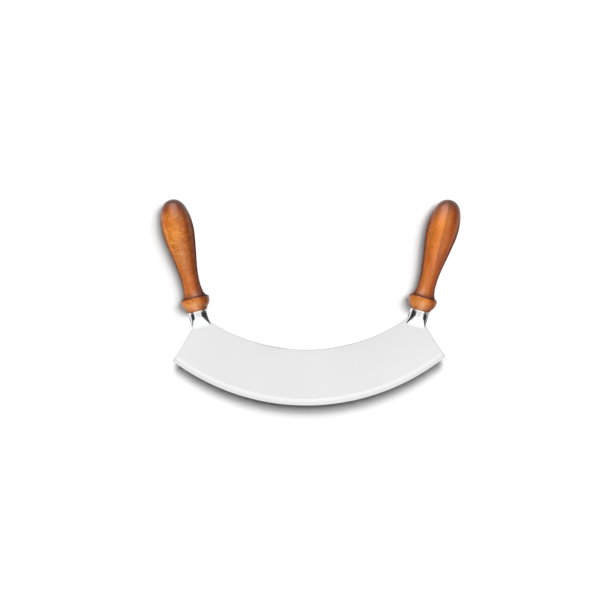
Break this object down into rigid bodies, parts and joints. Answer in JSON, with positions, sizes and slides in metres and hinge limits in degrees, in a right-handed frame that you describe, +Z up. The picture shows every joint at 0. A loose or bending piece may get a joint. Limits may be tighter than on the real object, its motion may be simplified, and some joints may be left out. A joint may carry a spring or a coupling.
{
  "type": "mezzaluna",
  "caption": "Crescent chopping blade of stainless steel with a steel bolster and a turned, lacquered wooden handle at each upper corner.",
  "frame": {"origin": "middle of the object's box in X and Y, at the lowest point of the handles in Z; the object lies flat with its blade level", "axes": "+X along the blade from the left to the right handle, +Y from the cutting edge to the ends of the handles, +Z up, square to the blade"},
  "size_m": [0.2746, 0.1907, 0.0288],
  "materials": {
    "blade_steel": "satin, fine curved grinding lines, brighter ground band along the edge",
    "bolster_steel": "mirror polished",
    "tang_steel": "plain rod, unpolished",
    "handle_wood": "stained and lacquered hardwood, orange brown, glossy"
  },
  "bodies": {
    "root": {"blade": "blade_steel", "bolster_left": "bolster_steel", "bolster_right": "bolster_steel", "tang_left": "tang_steel", "tang_right": "tang_steel", "handle_left": "handle_wood", "handle_right": "handle_wood"}
  },
  "joints": []
}
